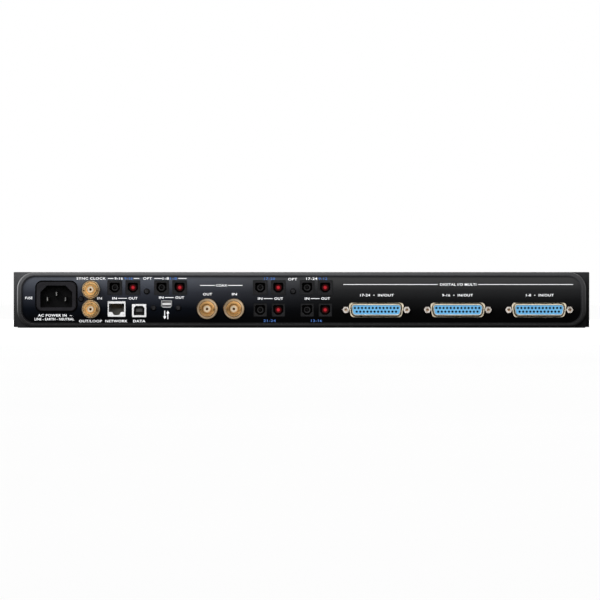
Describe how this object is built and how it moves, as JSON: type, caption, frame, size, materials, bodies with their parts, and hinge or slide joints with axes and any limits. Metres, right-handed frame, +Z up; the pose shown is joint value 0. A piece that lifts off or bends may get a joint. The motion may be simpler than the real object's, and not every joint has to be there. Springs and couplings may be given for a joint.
{
  "type": "audio interface",
  "caption": "Low, wide black rack-width audio interface with mains, coaxial, optical, data and multi-way D connectors at the back, and a display, keys and knob at the front.",
  "frame": {"origin": "on the underside, at the middle of the footprint", "axes": "+Z up, +X to the right-hand side seen from the front, -Y the way the display looks, +Y the way the connectors look"},
  "size_m": [0.4572, 0.1998, 0.0437],
  "materials": {
    "case_black": "fine black powder coat",
    "panel_black": "satin black",
    "bezel_grey": "dark grey, satin",
    "black_screw": "black oxide",
    "window_clear": "smoked, polished",
    "module_black": "satin black",
    "circuit_board": "green solder mask",
    "bright_metal": "zinc plated",
    "jack_brass": "gold plated",
    "knob_aluminium": "turned, satin",
    "button_plastic": "satin",
    "jack_black": "moulded, satin",
    "light_clear": "clear, frosted",
    "inlet_black": "moulded, satin",
    "pin_nickel": "nickel plated",
    "insulator_cream": "fluoropolymer",
    "contact_gold": "gold plated",
    "nut_gold": "gold plated",
    "lens_dark": "dark lens",
    "lens_red": "red, lit",
    "jackscrew_zinc": "zinc plated",
    "shield_bright": "bright tin plate",
    "tongue_grey": "moulded",
    "heat_sink_aluminium": "extruded",
    "fan_black": "moulded",
    "optical_black": "moulded, satin",
    "shell_gold": "yellow zinc plate",
    "insert_blue": "moulded, sky blue"
  },
  "bodies": {
    "enclosure": {"board_fixings": "bright_metal", "button_switches": "jack_black", "case_screws": "black_screw", "chassis_pan": "case_black", "clock_in_jack": "jack_brass", "clock_out_jack": "jack_brass", "coax_in_jack": "jack_brass", "coax_out_jack": "jack_brass", "computer_jack_shell": "shield_bright", "computer_jack_tongue": "tongue_grey", "connector_screws": "black_screw", "display_module": "module_black", "display_window": "window_clear", "encoder_body": "bright_metal", "fan_frame": "fan_black", "front_bezel": "bezel_grey", "front_board": "circuit_board", "front_panel": "panel_black", "heat_sink": "heat_sink_aluminium", "jack_contacts": "contact_gold", "jack_insulators": "insulator_cream", "jack_nuts": "nut_gold", "jackscrews": "jackscrew_zinc", "light_pipes": "light_clear", "link_jack_shell": "shield_bright", "link_jack_tongue": "tongue_grey", "main_board": "circuit_board", "mains_inlet": "inlet_black", "mains_pins": "pin_nickel", "multi_io_insert_1": "insert_blue", "multi_io_insert_2": "insert_blue", "multi_io_insert_3": "insert_blue", "multi_io_shell_1": "shell_gold", "multi_io_shell_2": "shell_gold", "multi_io_shell_3": "shell_gold", "network_insert": "jack_black", "network_shell": "shield_bright", "optical_detectors": "lens_dark", "optical_emitters": "lens_red", "optical_pair_1": "optical_black", "optical_pair_2": "optical_black", "optical_pair_3": "optical_black", "optical_pair_4": "optical_black", "optical_pair_5": "optical_black", "optical_pair_6": "optical_black", "power_board": "circuit_board", "power_parts": "module_black", "power_switch": "jack_black", "rear_bezel": "bezel_grey", "rear_panel": "panel_black", "top_cover": "case_black", "upper_board": "circuit_board"},
    "nav_plunger": {"encoder_plunger": "jack_brass"},
    "nav_dial": {"encoder_shaft": "bright_metal", "nav_knob": "knob_aluminium"},
    "back_key": {"back_button": "button_plastic"},
    "select_key": {"select_button": "button_plastic"},
    "page_key": {"page_button": "button_plastic"},
    "power_key": {"power_button": "button_plastic"},
    "fan_rotor": {"fan_impeller": "fan_black"}
  },
  "joints": [
    {"name": "nav_press", "type": "slide", "parent": "enclosure", "child": "nav_plunger", "axis": [0, 1, 0], "range_m": [0, 0.0005], "stiffness_N_per_m": 4000, "springref_m": -0.0005},
    {"name": "nav_turn", "type": "hinge", "parent": "nav_plunger", "child": "nav_dial", "pos_m": [0.152, -0.0889, 0.02185], "axis": [0, 1, 0], "continuous": true},
    {"name": "back_press", "type": "slide", "parent": "enclosure", "child": "back_key", "axis": [0, 1, 0], "range_m": [0, 0.0006], "stiffness_N_per_m": 1500, "springref_m": -0.0003},
    {"name": "select_press", "type": "slide", "parent": "enclosure", "child": "select_key", "axis": [0, 1, 0], "range_m": [0, 0.0006], "stiffness_N_per_m": 1500, "springref_m": -0.0003},
    {"name": "page_press", "type": "slide", "parent": "enclosure", "child": "page_key", "axis": [0, 1, 0], "range_m": [0, 0.0006], "stiffness_N_per_m": 1500, "springref_m": -0.0003},
    {"name": "power_press", "type": "slide", "parent": "enclosure", "child": "power_key", "axis": [0, 1, 0], "range_m": [0, 0.002], "stiffness_N_per_m": 900, "springref_m": -0.001},
    {"name": "fan_spin", "type": "hinge", "parent": "enclosure", "child": "fan_rotor", "pos_m": [-0.2136, 0.024, 0.0213], "axis": [1, 0, 0], "continuous": true}
  ]
}
